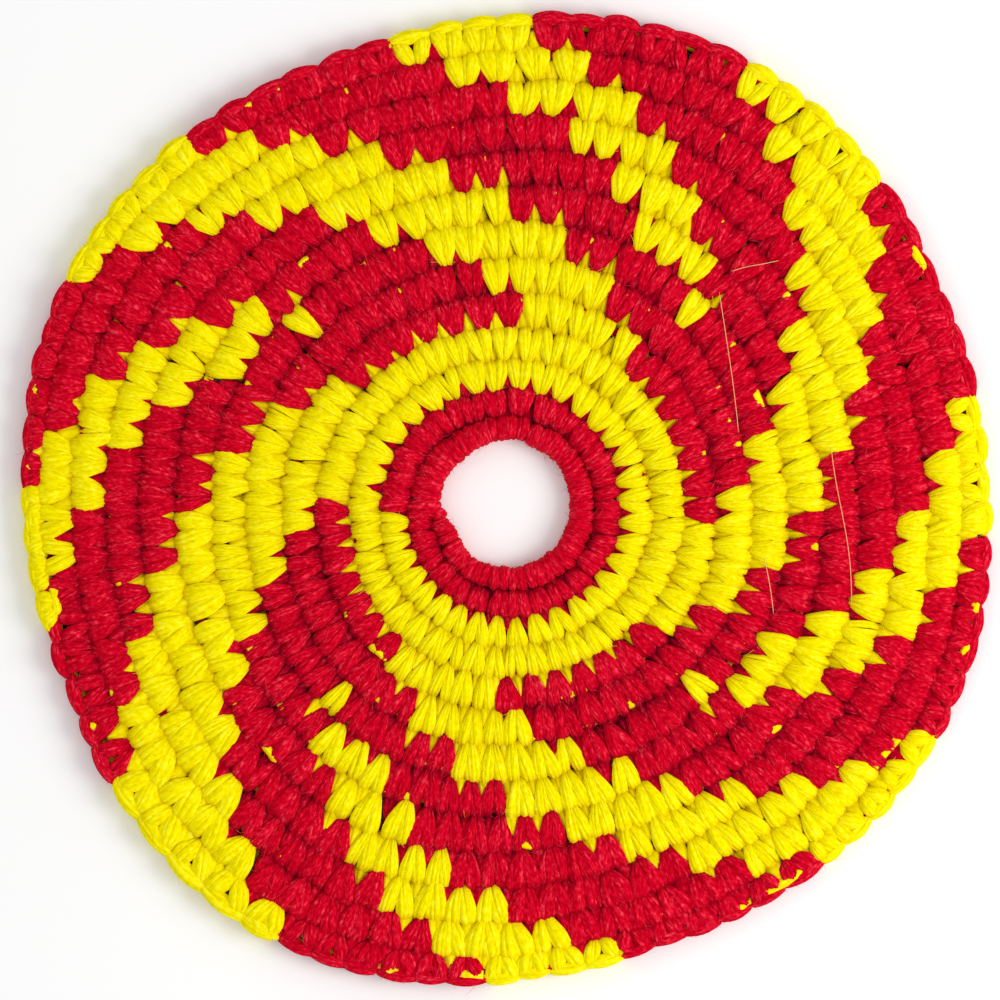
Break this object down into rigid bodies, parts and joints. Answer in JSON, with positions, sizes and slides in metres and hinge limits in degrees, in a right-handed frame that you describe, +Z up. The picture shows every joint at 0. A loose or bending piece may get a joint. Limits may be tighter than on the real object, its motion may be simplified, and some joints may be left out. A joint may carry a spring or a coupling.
{
  "type": "crocheted throwing ring",
  "caption": "Soft flat throwing ring crocheted in one spiral from a small round hole to the rim, with red and yellow arms that lean round the disc.",
  "frame": {"origin": "centre of the round hole, on the underside that rests on the table", "axes": "+Z up through the hole, the seam of the spiral along -X, the face with the V stitches on +Z"},
  "size_m": [0.24, 0.24, 0.007],
  "materials": {
    "red_yarn": "matte multi-strand yarn",
    "yellow_yarn": "matte multi-strand yarn"
  },
  "bodies": {
    "root": {"carried_red_yarn": "red_yarn", "carried_yellow_yarn": "yellow_yarn", "round_01_red": "red_yarn", "round_02_red": "red_yarn", "round_03_yellow": "yellow_yarn", "round_04_red": "red_yarn", "round_04_yellow": "yellow_yarn", "round_05_red": "red_yarn", "round_05_yellow": "yellow_yarn", "round_06_red": "red_yarn", "round_06_yellow": "yellow_yarn", "round_07_red": "red_yarn", "round_07_yellow": "yellow_yarn", "round_08_red": "red_yarn", "round_08_yellow": "yellow_yarn", "round_09_red": "red_yarn", "round_09_yellow": "yellow_yarn", "round_10_red": "red_yarn", "round_10_yellow": "yellow_yarn", "round_11_red": "red_yarn", "round_11_yellow": "yellow_yarn", "round_12_red": "red_yarn", "round_12_yellow": "yellow_yarn", "round_13_red": "red_yarn", "round_13_yellow": "yellow_yarn"}
  },
  "joints": []
}
